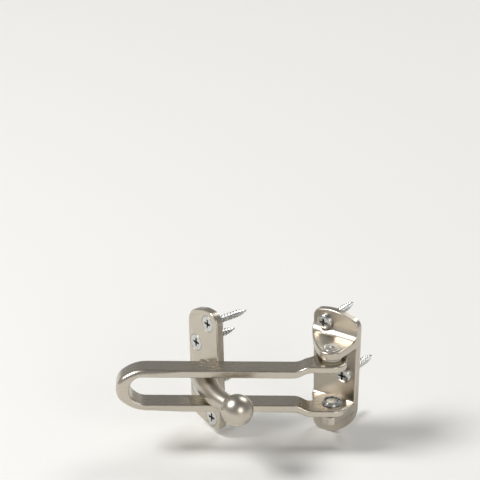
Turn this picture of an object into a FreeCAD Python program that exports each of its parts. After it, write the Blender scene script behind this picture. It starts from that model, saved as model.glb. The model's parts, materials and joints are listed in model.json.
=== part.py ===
import FreeCAD, Part
import math
import os

# Swing bar door guard, in millimetres.
# Origin: middle of the hinge bracket's back face. +Z up, -Y forwards, from the
# backs that are screwed down to the bar, -X from the pivots towards the strike.
# At rest the bar lies over the strike's ball and the guard holds it part open.

V = FreeCAD.Vector
ORIGIN = V(0, 0, 0)
X_AXIS = V(1, 0, 0)
Z_AXIS = V(0, 0, 1)

# Ball, and what it has to pass and catch on
BALL_D = 16.2
BALL_CATCH = 0.55  # each side of the slot under the ball
BALL_PASS = 2.5  # play above the ball between the eyes

# Swing bar
ARM_T = 4.0
BAR_FRONT = 9.7  # front face, from the pin axis
BAR_BACK = 1.8  # back face, from the pin axis
BAR_REACH = 107.5  # pin axis to the outside of the tip
TIP_T = 6.6
# Roundings of the tip and of the slot's end: length, radius at the side and
# radius at the end, each as a share of the half height that it rounds
TIP_ROUND = (1.42, 1.56, 0.78)
SLOT_ROUND_TOP = (0.861, 0.742, 0.993)
SLOT_ROUND_LOW = (1.192, 1.192, 0.848)
CRANK_START = 12.0
CRANK_END = 16.8
CRANK_BEND = 3.0
EYE_T = 3.5
EYE_END = 7.4  # eye's end, from the pin axis
EYE_HEEL = 10.0  # eye's back, from the pin axis
EYE_CORNER = 6.8
EYE_HEEL_CORNER = 5.8
EYE_NECK = 9.6  # where the eye's back meets the arms, from the pin axis
EYE_NECK_IN = 3.0  # the eye's back, narrower than that by this
EYE_BLEND = 4.0
BAR_ANGLE = 33.2  # bar, from the bracket's plane

# Pivot
PIN_D = 6.0
PIN_HEAD_D = 8.9
PIN_HEAD_RISE = 0.4
PIN_DIMPLE_D = 2.6
PIN_DIMPLE_DEPTH = 0.9
PIN_RECESS = 0.5  # pin's inner end, below the lock ring's crown
PIN_FIT = 0.02
RUNNING_FIT = 0.05
END_GAP = 0.15
WASHER_D = 9.6
WASHER_T = 1.5
RING_D = 10.4
RING_CROWN_D = 8.6
RING_H = 1.5
RING_BORE_D = 7.5
RING_TEETH = 10
RING_TOOTH_W = 1.2
RING_TOOTH_H = 0.8

# Hinge bracket
BRACKET_T = 3.5
BRACKET_LEFT = 13.9
BRACKET_RIGHT = 12.8
BRACKET_TAPER = 2.4  # right edge, nearer the middle at its foot
BRACKET_CROWN = 33.4  # top edge's peak, before its rounding
BRACKET_BOTTOM = 36.0
BRACKET_FOOT_W = 11.8  # flat stretch of the bottom edge
BRACKET_SWEEP = 27.4  # right edge, down to the sweep's corner
BRACKET_SWEEP_R = 16.0
BRACKET_CORNER = 4.7
BRACKET_PEAK_X = -2.0
BRACKET_PEAK_R = 25.0
BRACKET_FALL_LEFT = 2.7  # top edge's left end, below its peak
BRACKET_FALL_RIGHT = 3.7
BRACKET_FOOT_R = 12.0  # foot's right corner
PLATE_EDGE = 0.6
PIN_X = 6.25
PIN_Y = -17.0
LUG_NOSE_R = 7.0
LUG_NOSE_R_LOWER = 6.4
LUG_NOSE_FLAT = 0.5  # upper lug's front, nearer the pin than its right side
LUG_BELLY_X = 7.0  # widest point of the left side, from the plate's corner
LUG_BELLY_Y = 10.1
LUG_BELLY_R = 14.0
LUG_T = 4.3
LUG_ROOT_OUTER = 4.5  # upper lug, outer side
LUG_ROOT = 2.0  # the other root roundings

# Bracket screws, pan head
SCREW_D = 4.0
SCREW_LENGTH = 25.0
SCREW_POINT = 6.0
PAN_NECK_D = 3.2  # plain shank through the bracket
PAN_NECK_OUT = 0.6  # and on behind its back face
SCREW_HOLE_D = 4.6
PAN_D = 8.5
PAN_H = 2.5
PAN_SIDE = 1.7
PAN_CLEAR = 0.4  # spot face, wider than the head all round
BRACKET_SCREW_IN = 7.5  # middle of the end screws, from the left edge
BRACKET_SCREW_DROP = 7.7  # upper one, below the top edge's peak
BRACKET_SCREW_RISE = 9.0  # lower one, above the bottom edge
MIDDLE_SCREW_X = 4.9
MIDDLE_SCREW_Z = -0.9
PAN_TOP_D = 5.4
PAN_SHOULDER = 0.6  # crown's outer step, inwards
PAN_SHOULDER_RISE = 0.5
SEAT_GAP = 0.01
RECESS_SPAN = 4.6
RECESS_W = 1.0
RECESS_DEPTH = 1.7

# Strike
STRIKE_T = 4.0
STRIKE_TOP = 31.7
STRIKE_BOTTOM = 33.0
STRIKE_W = 22.0  # at the top
STRIKE_LEAN = 2.7  # both sides, further right at the foot
STRIKE_PEAK_X = 11.3  # where the top edge turns down to the left
STRIKE_SHOULDER = 4.9  # left edge's top, below the plate's
STRIKE_SHOULDER_R = 9.0
STRIKE_PEAK_R = 12.0
STRIKE_CORNER_R = 6.5
STRIKE_HEEL = 4.2  # left edge's foot, above the plate's
STRIKE_HEEL_R = 8.0
STRIKE_FOOT_W = 5.9  # right edge to the lowest point
STRIKE_FOOT_R = 5.0
STRIKE_TOE = 2.0  # right edge's foot, above the plate's
STRIKE_TOE_R = 3.0
STRIKE_SCREW_TOP_IN = 7.5  # middle of the top screw, from the right edge
STRIKE_SCREW_DROP = 7.3  # and below the top edge
STRIKE_SCREW_FOOT_IN = 6.8  # middle of the bottom screw, from the right edge
STRIKE_SCREW_RISE = 6.2  # and above the lowest point
STRIKE_SCREW_LEFT = 5.3  # middle of the screws near the horn, from the left edge
STRIKE_SCREW_UP = 10.5
STRIKE_SCREW_DOWN = 14.7
CSK_D = 8.4
CSK_RIM = 0.2
CSK_CLEAR = 0.15  # countersink, wider than the head all round
HORN_N = 16.3  # ball's centre, from the plate's front face
HORN_A = 59.7  # ball's centre, from the plate's left edge
HORN_NECK_R = 4.5
HORN_STATIONS = [  # shares of the reach and rise, lean, shares of the neck's radius
    (0.260, -0.09, 90, 1.78, 0.80),
    (0.285, 0.20, 65, 1.71, 1.05),
    (0.382, 0.51, 35, 1.49, 1.34),
    (0.578, 0.84, 18, 1.22, 1.22),
    (0.762, 0.99, 5, 1.09, 1.09),
    (1.000, 1.00, 0, 1.00, 1.00),
]
HORN_SIDES = 28
HORN_STEPS = 3  # rings from one station to the next
BALL_SHUT = 9.5  # ball's centre to the pin axis, fully shut

# The strike's swing: how far it stands open at rest
DOOR_ANGLE = 18.0
DOOR_RADIUS = 163.0  # the axis it swings about to the pin

# Sizes that follow from those above
BALL_R = BALL_D / 2
SLOT_HALF = BALL_R - BALL_CATCH
EYE_INNER = BALL_R + BALL_PASS
EYE_OUTER = EYE_INNER + EYE_T
ARM_OUTER = SLOT_HALF + ARM_T
LUG_INNER = EYE_OUTER + END_GAP + WASHER_T
LUG_OUTER = LUG_INNER + LUG_T
RING_BASE = EYE_INNER - END_GAP
BRACKET_SCREW_X = BRACKET_SCREW_IN - BRACKET_LEFT
BRACKET_SCREW_TOP = BRACKET_CROWN - BRACKET_SCREW_DROP
BRACKET_SCREW_BOTTOM = BRACKET_SCREW_RISE - BRACKET_BOTTOM
STRIKE_SHUT_X = PIN_X - BALL_SHUT - HORN_A


def rounded(corners):
    """A face from corners (x, y, radius), each an arc tangent to its sides."""
    arcs = []
    for i, (x, y, radius) in enumerate(corners):
        here = V(x, y, 0)
        before = corners[i - 1]
        after = corners[(i + 1) % len(corners)]
        back = (V(before[0], before[1], 0) - here).normalize()
        ahead = (V(after[0], after[1], 0) - here).normalize()
        half = back.getAngle(ahead) / 2
        reach = radius / math.tan(half)
        inward = (back + ahead).normalize()
        middle = here + inward * (radius / math.sin(half) - radius)
        arcs.append((here + back * reach, middle, here + ahead * reach, radius))
    edges = []
    for i, (start, middle, stop, radius) in enumerate(arcs):
        if radius > 0:
            edges.append(Part.Arc(start, middle, stop).toShape())
        following = arcs[(i + 1) % len(arcs)][0]
        if following.distanceToPoint(stop) > 1e-6:
            edges.append(Part.makeLine(stop, following))
    return Part.Face(Part.Wire(edges))


def prism(face, low, high):
    """A flat outline drawn out along Z between two heights."""
    solid = face.extrude(V(0, 0, high - low))
    solid.translate(V(0, 0, low))
    return solid


def upright(shape):
    """The shape stood up: its Y becomes Z and its Z becomes -Y."""
    stood = shape.copy()
    stood.rotate(ORIGIN, X_AXIS, 90)
    return stood


def turned(points):
    """A solid of revolution about Z from (radius, height) points."""
    wire = Part.makePolygon([V(r, 0, z) for r, z in points + points[:1]])
    return Part.Face(wire).revolve(ORIGIN, Z_AXIS, 360)


def softened(shape, radius, chosen):
    """The shape with its chosen edges rounded."""
    edges = [edge for edge in shape.Edges if chosen(edge)]
    return shape.makeFillet(radius, edges)


def in_plane_y(edge, y):
    """Whether an edge lies in the plane at y."""
    box = edge.BoundBox
    return abs(box.YMin - y) < 1e-3 and abs(box.YMax - y) < 1e-3


def cross_recess():
    """A cross recess that opens at Z = 0 and narrows downwards."""
    half = RECESS_SPAN / 2
    bottom = RECESS_W / 2
    taper = rounded([(-half, 0, 0), (-bottom, -RECESS_DEPTH, 0), (bottom, -RECESS_DEPTH, 0), (half, 0, 0)])
    wing = upright(prism(taper, -bottom, bottom))
    other = wing.copy()
    other.rotate(ORIGIN, Z_AXIS, 90)
    return wing.fuse(other)


def shank():
    """A wood screw's outline from its straight shank to its point."""
    return [(SCREW_D / 2, SCREW_POINT - SCREW_LENGTH), (0, -SCREW_LENGTH)]


def pan_screw():
    """A pan-head screw with its seat at Z = 0 and its shank downwards."""
    head_r = PAN_D / 2
    neck_end = -BRACKET_T - PAN_NECK_OUT
    head = [
        (0, PAN_H),
        (PAN_TOP_D / 2, PAN_H),
        (head_r - PAN_SHOULDER, PAN_SIDE + PAN_SHOULDER_RISE),
        (head_r, PAN_SIDE),
        (head_r, SEAT_GAP),
        (PAN_NECK_D / 2, SEAT_GAP),
        (PAN_NECK_D / 2, neck_end),
        (SCREW_D / 2, neck_end),
    ]
    recess = cross_recess()
    recess.translate(V(0, 0, PAN_H))
    return turned(head + shank()).cut(recess)


def countersunk_screw():
    """A countersunk screw with its face at Z = 0 and its shank downwards."""
    drop = CSK_RIM + (CSK_D - SCREW_D) / 2
    head = [(0, 0), (CSK_D / 2, 0), (CSK_D / 2, -CSK_RIM), (SCREW_D / 2, -drop)]
    return turned(head + shank()).cut(cross_recess())


def placed_screw(screw, x, z, y):
    """A screw with its head to the front, at x and z on a face at y."""
    out = upright(screw)
    out.translate(V(x, y, z))
    return out


def screw_hole(x, z):
    """The clearance hole of a screw through a plate."""
    depth = max(BRACKET_T, STRIKE_T) + 2
    hole = upright(Part.makeCylinder(SCREW_HOLE_D / 2, depth, V(0, 0, -1)))
    hole.translate(V(x, 0, z))
    return hole


def spot_face(x, z):
    """A flat seat for a pan head, cut through the root of the lug beside it."""
    seat = upright(Part.makeCylinder(PAN_D / 2 + PAN_CLEAR, LUG_ROOT_OUTER))
    seat.translate(V(x, -BRACKET_T, z))
    return seat


def countersink(x, z):
    """The seat of a countersunk head in a plate's front face."""
    outer = CSK_D / 2 + CSK_CLEAR
    inner = SCREW_HOLE_D / 2
    low = -CSK_RIM - (outer - inner)
    seat = turned([(0, 1), (outer, 1), (outer, -CSK_RIM), (inner, low), (0, low)])
    out = upright(seat)
    out.translate(V(x, -STRIKE_T, z))
    return out


def plate(outline, thickness):
    """A back plate with soft front edges, from its outline seen from the front."""
    blank = upright(prism(outline, 0, thickness))
    return softened(blank, PLATE_EDGE, lambda edge: in_plane_y(edge, -thickness))


def bracket_outline():
    """The bracket plate's outline: a round top and a swept lower right corner."""
    left = -BRACKET_LEFT
    right = BRACKET_RIGHT
    return rounded(
        [
            (left, BRACKET_CROWN - BRACKET_FALL_LEFT, BRACKET_CORNER),
            (BRACKET_PEAK_X, BRACKET_CROWN, BRACKET_PEAK_R),
            (right, BRACKET_CROWN - BRACKET_FALL_RIGHT, BRACKET_CORNER),
            (right - BRACKET_TAPER, -BRACKET_SWEEP, BRACKET_SWEEP_R),
            (left + BRACKET_FOOT_W, -BRACKET_BOTTOM, BRACKET_FOOT_R),
            (left, -BRACKET_BOTTOM, BRACKET_CORNER),
        ]
    )


def lug_plan(nose_r, reach):
    """A lug seen from above, its front and right side tangent about the pin."""
    left = -BRACKET_LEFT
    right = PIN_X + nose_r
    inside = -BRACKET_T / 2
    belly_x = left + LUG_BELLY_X
    belly_y = -BRACKET_T - LUG_BELLY_Y
    dx = PIN_X - belly_x
    dy = PIN_Y - belly_y
    slant = math.atan2(dy, dx) - math.asin(reach / math.hypot(dx, dy))
    corner_y = belly_y + (right - belly_x) * math.tan(slant)
    return rounded(
        [
            (left, inside, 0),
            (left, -BRACKET_T, 0),
            (belly_x, belly_y, LUG_BELLY_R),
            (right, corner_y, nose_r),
            (right, inside, 0),
        ]
    )


def lug(nose_r, reach, root_outer):
    """A lug above the middle: its plan, cut to a tab with round roots."""
    inside = -BRACKET_T / 2
    front = -BRACKET_T
    nose = PIN_Y - 2 * nose_r
    low = LUG_INNER - LUG_ROOT
    top = LUG_OUTER + root_outer
    solid = prism(lug_plan(nose_r, reach), low, top)
    side = rounded(
        [
            (inside, low, 0),
            (front, low, 0),
            (front, LUG_INNER, LUG_ROOT),
            (nose, LUG_INNER, 0),
            (nose, LUG_OUTER, 0),
            (front, LUG_OUTER, root_outer),
            (front, top, 0),
            (inside, top, 0),
        ]
    )
    cutter = prism(side, -2 * BRACKET_LEFT, 2 * BRACKET_LEFT)
    cutter.rotate(ORIGIN, X_AXIS, 90)
    cutter.rotate(ORIGIN, Z_AXIS, 90)
    return solid.common(cutter)


def hinge_bracket():
    """The hinge bracket: plate and two lugs in one casting, bored for its pins."""
    outline = bracket_outline()
    upper = lug(LUG_NOSE_R, LUG_NOSE_R - LUG_NOSE_FLAT, LUG_ROOT_OUTER)
    lower = lug(LUG_NOSE_R_LOWER, LUG_NOSE_R_LOWER, LUG_ROOT).mirror(ORIGIN, Z_AXIS)
    trim = upright(prism(outline, 0, 2 * abs(PIN_Y)))
    lugs = upper.fuse(lower).common(trim)
    body = plate(outline, BRACKET_T).fuse(lugs).removeSplitter()
    bore = Part.makeCylinder(PIN_D / 2 + PIN_FIT, 4 * LUG_OUTER, V(PIN_X, PIN_Y, -2 * LUG_OUTER))
    drop = (PIN_HEAD_D - PIN_D) / 2
    seat = turned(
        [
            (0, LUG_OUTER + 1),
            (PIN_HEAD_D / 2 + PIN_FIT + 1, LUG_OUTER + 1),
            (PIN_D / 2 + PIN_FIT, LUG_OUTER - drop),
            (0, LUG_OUTER - drop),
        ]
    )
    seat.translate(V(PIN_X, PIN_Y, 0))
    cuts = [bore, seat, seat.mirror(ORIGIN, Z_AXIS)]
    cuts.append(screw_hole(BRACKET_SCREW_X, BRACKET_SCREW_TOP))
    cuts.append(spot_face(BRACKET_SCREW_X, BRACKET_SCREW_TOP))
    cuts.append(screw_hole(BRACKET_SCREW_X, BRACKET_SCREW_BOTTOM))
    cuts.append(screw_hole(MIDDLE_SCREW_X, MIDDLE_SCREW_Z))
    return body.cut(cuts)


def pivot_pin():
    """The upper pin: countersunk head in the lug, inner end in the lock ring."""
    shank_r = PIN_D / 2
    head_r = PIN_HEAD_D / 2
    dimple_r = PIN_DIMPLE_D / 2
    end = RING_BASE - RING_H + PIN_RECESS
    top = LUG_OUTER + PIN_HEAD_RISE
    outline = [
        (0, end),
        (shank_r, end),
        (shank_r, LUG_OUTER - (head_r - shank_r)),
        (head_r, LUG_OUTER),
        (head_r - PIN_HEAD_RISE / 2, top),
        (dimple_r, top),
        (0, top - PIN_DIMPLE_DEPTH),
    ]
    return at_pin(turned(outline))


def at_pin(shape):
    """A shape turned about Z, moved to the pin axis."""
    shape.translate(V(PIN_X, PIN_Y, 0))
    return shape


def washer():
    """The upper washer, flat on the lug's inner face."""
    low = LUG_INNER - WASHER_T
    inner = PIN_D / 2 + RUNNING_FIT
    outer = WASHER_D / 2
    outline = [(inner, low), (outer, low), (outer, LUG_INNER), (inner, LUG_INNER)]
    return at_pin(turned(outline))


def lock_ring():
    """The upper lock ring: a coned collar whose teeth grip the pin's inner end."""
    crown = RING_BASE - RING_H
    bore = RING_BORE_D / 2
    collar = turned(
        [
            (bore, crown),
            (RING_CROWN_D / 2, crown),
            (RING_D / 2, RING_BASE),
            (bore, RING_BASE),
        ]
    )
    grip = PIN_D / 2 + PIN_FIT
    ring = collar
    for i in range(RING_TEETH):
        tooth = Part.makeBox(bore - grip + 0.3, RING_TOOTH_W, RING_TOOTH_H)
        tooth.translate(V(grip, -RING_TOOTH_W / 2, RING_BASE - RING_TOOTH_H))
        tooth.rotate(ORIGIN, Z_AXIS, 360 * i / RING_TEETH)
        ring = ring.fuse(tooth)
    clear = Part.makeCylinder(grip, 3 * RING_H, V(0, 0, crown - RING_H))
    return at_pin(ring.removeSplitter().cut(clear))


def bend(end, half, shares):
    """Two corners that round a side at height half into an end."""
    share = math.sqrt(2) - 1
    length, side_r, end_r = [abs(half) * value for value in shares]
    return [
        (end - length * (1 - share), half, side_r),
        (end, half * share, end_r),
    ]


def bar_side():
    """The bar seen from the front: cranked eyes, slot and round tip."""
    start = -2 * EYE_END
    slot_end = BAR_REACH - TIP_T
    tip = bend(BAR_REACH, ARM_OUTER, TIP_ROUND)
    top = bend(slot_end, SLOT_HALF, SLOT_ROUND_TOP)
    low = bend(slot_end, -SLOT_HALF, SLOT_ROUND_LOW)
    under_tip = [(x, -z, radius) for x, z, radius in reversed(tip)]
    outline = rounded(
        [
            (start, EYE_OUTER, 0),
            (CRANK_START, EYE_OUTER, CRANK_BEND),
            (CRANK_END, ARM_OUTER, CRANK_BEND),
            *tip,
            *under_tip,
            (CRANK_END, -ARM_OUTER, CRANK_BEND),
            (CRANK_START, -EYE_OUTER, CRANK_BEND),
            (start, -EYE_OUTER, 0),
            (start, -EYE_INNER, 0),
            (CRANK_START, -EYE_INNER, CRANK_BEND),
            (CRANK_END, -SLOT_HALF, CRANK_BEND),
            *low,
            *reversed(top),
            (CRANK_END, SLOT_HALF, CRANK_BEND),
            (CRANK_START, EYE_INNER, CRANK_BEND),
            (start, EYE_INNER, 0),
        ]
    )
    return upright(prism(outline, -2 * BAR_FRONT, 2 * BAR_FRONT))


def bar_plan():
    """The bar seen from above: a straight bar with a round-cornered eye."""
    outline = rounded(
        [
            (2 * BAR_REACH, -BAR_BACK, 0),
            (EYE_NECK, -BAR_BACK, EYE_BLEND),
            (EYE_NECK - EYE_NECK_IN, -EYE_HEEL, EYE_HEEL_CORNER),
            (-EYE_END, -EYE_HEEL, EYE_CORNER),
            (-EYE_END, BAR_FRONT, EYE_CORNER),
            (2 * BAR_REACH, BAR_FRONT, 0),
        ]
    )
    return prism(outline, -2 * EYE_OUTER, 2 * EYE_OUTER)


def swing_bar():
    """The swing bar, one forging, with its pin along Z and its tip along X."""
    body = bar_side().common(bar_plan())
    bore = Part.makeCylinder(PIN_D / 2 + RUNNING_FIT, 4 * EYE_OUTER, V(0, 0, -2 * EYE_OUTER))
    body = body.cut(bore)
    body.rotate(ORIGIN, Z_AXIS, 180 + BAR_ANGLE)
    return at_pin(body)


def between(rows, i, share):
    """A row of values on the smooth curve from row i to the next."""
    a, b, c, d = [rows[min(max(k, 0), len(rows) - 1)] for k in range(i - 1, i + 3)]
    out = []
    for p, q, r, s in zip(a, b, c, d):
        turn = (r - p) + share * (2 * p - 5 * q + 4 * r - s + share * (3 * (q - r) + s - p))
        out.append(q + share * turn / 2)
    return out


def horn_ring(reach, rise, lean, across, tall):
    """One oval of the horn: its middle, its lean and its half width and height."""
    points = []
    for i in range(HORN_SIDES + 1):
        turn = 2 * math.pi * i / HORN_SIDES
        y = HORN_NECK_R * across * math.cos(turn)
        z = HORN_NECK_R * tall * math.sin(turn)
        points.append(V(0, y, z))
    oval = Part.makePolygon(points)
    oval.rotate(ORIGIN, Z_AXIS, -lean)
    oval.translate(V(HORN_A * reach, -STRIKE_T - HORN_N * rise, 0))
    return oval


def horn():
    """The horn: it flares from the plate and bends to run level with it."""
    rings = []
    for i in range(len(HORN_STATIONS) - 1):
        for step in range(HORN_STEPS):
            rings.append(horn_ring(*between(HORN_STATIONS, i, step / HORN_STEPS)))
    rings.append(horn_ring(*HORN_STATIONS[-1]))
    return Part.makeLoft(rings, True, True)


def strike_outline():
    """The strike plate's outline: a round top and a pointed, leaning foot."""
    foot_x = STRIKE_W + STRIKE_LEAN - STRIKE_FOOT_W
    return rounded(
        [
            (-STRIKE_LEAN / 2, STRIKE_TOP - STRIKE_SHOULDER, STRIKE_SHOULDER_R),
            (STRIKE_PEAK_X, STRIKE_TOP - STRIKE_SHOULDER / 10, STRIKE_PEAK_R),
            (STRIKE_W, STRIKE_TOP, STRIKE_CORNER_R),
            (STRIKE_W + STRIKE_LEAN, STRIKE_TOE - STRIKE_BOTTOM, STRIKE_TOE_R),
            (foot_x, -STRIKE_BOTTOM, STRIKE_FOOT_R),
            (STRIKE_LEAN / 2, STRIKE_HEEL - STRIKE_BOTTOM, STRIKE_HEEL_R),
        ]
    )


def strike_plate():
    """The strike: plate, horn and ball in one casting, its left edge near X = 0."""
    ball = Part.makeSphere(BALL_R, V(HORN_A, -STRIKE_T - HORN_N, 0))
    body = plate(strike_outline(), STRIKE_T).fuse([horn(), ball]).removeSplitter()
    cuts = []
    for x, z in strike_screw_places().values():
        cuts.append(screw_hole(x, z))
        cuts.append(countersink(x, z))
    return body.cut(cuts)


def strike_screw_places():
    """Where the strike's screws stand, from its left edge and middle."""
    right = STRIKE_W + STRIKE_LEAN
    top = STRIKE_TOP - STRIKE_SCREW_DROP
    bottom = STRIKE_SCREW_RISE - STRIKE_BOTTOM
    return {
        "strike_screw_top": (STRIKE_W - STRIKE_SCREW_TOP_IN, top),
        "strike_screw_upper": (STRIKE_SCREW_LEFT, STRIKE_SCREW_UP),
        "strike_screw_lower": (STRIKE_SCREW_LEFT + STRIKE_LEAN / 2.5, -STRIKE_SCREW_DOWN),
        "strike_screw_bottom": (right - STRIKE_SCREW_FOOT_IN, bottom),
    }


def ajar(shape):
    """A strike piece moved from its own place to where it has swung open."""
    out = shape.copy()
    out.translate(V(STRIKE_SHUT_X, 0, 0))
    out.rotate(V(PIN_X - DOOR_RADIUS, 0, 0), Z_AXIS, -DOOR_ANGLE)
    return out


def main():
    """Builds each piece and writes it to parts."""
    pin = pivot_pin()
    flat = washer()
    ring = lock_ring()
    pan = pan_screw()
    csk = countersunk_screw()
    front = -BRACKET_T
    pieces = {
        "hinge_bracket": hinge_bracket(),
        "upper_pivot_pin": pin,
        "lower_pivot_pin": pin.mirror(ORIGIN, Z_AXIS),
        "upper_washer": flat,
        "lower_washer": flat.mirror(ORIGIN, Z_AXIS),
        "upper_lock_ring": ring,
        "lower_lock_ring": ring.mirror(ORIGIN, Z_AXIS),
        "bracket_screw_top": placed_screw(pan, BRACKET_SCREW_X, BRACKET_SCREW_TOP, front),
        "bracket_screw_middle": placed_screw(pan, MIDDLE_SCREW_X, MIDDLE_SCREW_Z, front),
        "bracket_screw_bottom": placed_screw(pan, BRACKET_SCREW_X, BRACKET_SCREW_BOTTOM, front),
        "swing_bar": swing_bar(),
        "strike_plate": ajar(strike_plate()),
    }
    for name, (x, z) in strike_screw_places().items():
        pieces[name] = ajar(placed_screw(csk, x, z, -STRIKE_T))
    os.makedirs("parts", exist_ok=True)
    for name, shape in pieces.items():
        if not shape.isValid():
            raise ValueError(name + " is not a valid solid")
        print(name, len(shape.Solids), round(shape.Volume, 1))
        shape.exportStep("parts/" + name + ".step")


main()
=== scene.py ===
import json
import math
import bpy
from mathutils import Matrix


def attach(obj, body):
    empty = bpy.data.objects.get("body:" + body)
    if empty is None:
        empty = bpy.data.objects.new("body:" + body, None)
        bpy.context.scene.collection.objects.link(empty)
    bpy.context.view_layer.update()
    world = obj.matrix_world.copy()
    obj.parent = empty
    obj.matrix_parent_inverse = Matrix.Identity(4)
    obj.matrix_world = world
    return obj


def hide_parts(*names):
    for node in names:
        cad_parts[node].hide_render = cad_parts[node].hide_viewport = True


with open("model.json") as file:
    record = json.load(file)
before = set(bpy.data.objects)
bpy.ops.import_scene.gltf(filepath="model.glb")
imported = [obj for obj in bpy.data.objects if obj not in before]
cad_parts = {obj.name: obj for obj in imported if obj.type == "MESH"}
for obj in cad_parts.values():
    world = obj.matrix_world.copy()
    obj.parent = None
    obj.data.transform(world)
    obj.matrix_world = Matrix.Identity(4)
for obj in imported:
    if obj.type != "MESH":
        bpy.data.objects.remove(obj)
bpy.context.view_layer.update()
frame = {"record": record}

from types import SimpleNamespace

import bmesh
import bpy
from bpy.props import FloatProperty, FloatVectorProperty, PointerProperty
from mathutils import Matrix, Vector

bl_info = {
    "name": "Swing bar door guard",
    "version": (1, 0, 0),
    "blender": (4, 5, 0),
    "location": "View3D > Sidebar > Door Guard",
    "description": "Builds a swing bar door guard with its strike, pivots and screws",
    "category": "Object",
}

# Shapes are made in millimetres and set down in metres. The origin is the
# middle of the bracket's back face, +Z up and -Y to the front.
MM = 0.001
UPRIGHT = Matrix.Rotation(math.radians(90), 4, "X")
MIRRORED = Matrix.Diagonal((1, 1, -1, 1))
FAR = 50  # past the outside of any piece
SLACK = 0.02  # how far a shape passes the one that trims or holds it
NEAR = 0.01  # points this near a plane lie on it
RIM = 0.1  # edges this far outside a hole's radius still belong to its rim


def linear(hex_colour):
    """An sRGB hex colour as linear red, green and blue."""
    out = []
    for i in (1, 3, 5):
        value = int(hex_colour[i : i + 2], 16) / 255
        out.append(value / 12.92 if value <= 0.04045 else ((value + 0.055) / 1.055) ** 2.4)
    return out


def length(name, description, millimetres):
    """A size in metres, as a property that Blender shows with its unit."""
    return FloatProperty(
        name=name,
        description=description,
        default=millimetres * MM,
        min=0,
        precision=5,
        unit="LENGTH",
    )


def angle(name, description, degrees):
    """An angle, as a property that Blender shows in degrees."""
    return FloatProperty(name=name, description=description, default=math.radians(degrees), subtype="ANGLE")


def tint(name, description, hex_colour):
    """A colour property from an sRGB hex value."""
    return FloatVectorProperty(
        name=name,
        description=description,
        default=linear(hex_colour),
        min=0,
        max=1,
        subtype="COLOR",
    )


# Settings


class GuardFinishes(bpy.types.PropertyGroup):
    """Colours of the finishes"""

    nickel: tint("Satin nickel", "Plating of the bracket, the bar and the strike", "#C4BCAF")
    # Painted shade: this darker colour stands in for the shade inside the screws' recesses.
    recess: tint("Recess", "Thin plating inside the screws' recesses", "#5E5C58")
    steel: tint("Plated steel", "Plating of the screws, pins and lock rings", "#CFCFCD")
    nylon: tint("Nylon", "Natural nylon of the washers", "#E9E4D6")
    floor: tint("Floor", "Plain pale floor", "#F1F0EC")


class BarSizes(bpy.types.PropertyGroup):
    """Sizes of the swing bar"""

    reach: length("Reach", "Pin axis to the outside of the tip", 107.5)
    arm: length("Arm", "Thickness of each arm, seen from the front", 4.0)
    slot_half: length("Half slot", "Half the height of the slot", 7.55)
    front: length("Front", "Front face, from the pin axis", 9.7)
    back: length("Back", "Back face, from the pin axis", 1.8)
    tip: length("Tip", "Thickness of the tip", 6.6)
    eye_inner: length("Eye's inside", "Inner face of each eye, from the middle", 10.6)
    eye: length("Eye", "Thickness of each eye", 3.5)
    eye_end: length("Eye's end", "Eye's end, from the pin axis", 7.4)
    eye_heel: length("Eye's heel", "Eye's back, from the pin axis", 10.0)
    eye_round: length("Eye's rounding", "Radius of the eye's corners", 6.8)
    heel: length("Heel", "Heel's corner, from the pin axis", 6.6)
    heel_round: length("Heel's rounding", "Radius of the heel's corner", 5.8)
    notch: length("Notch", "Where the back face turns in to the heel", 9.6)
    notch_round: length("Notch's rounding", "Radius of that turn", 4.0)
    crank_start: length("Crank's start", "Where a crank leaves its eye, from the pin axis", 12.0)
    crank_end: length("Crank's end", "Where a crank meets its arm, from the pin axis", 16.8)
    crank_round: length("Crank's rounding", "Radius of a crank's bends", 9.0)
    bore: length("Bore", "Diameter of the bore in each eye", 6.1)
    bore_edge: length("Bore's edge", "Rounding of the bores' edges", 0.15)
    edge: length("Edge", "Rounding of the bar's edges", 0.7)
    tip_edge: length("Tip's edge", "Rounding of the front edge round the tip", 2.5)
    opening: angle("Opening", "Bar, from the bracket's plane", 33.2)


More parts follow.
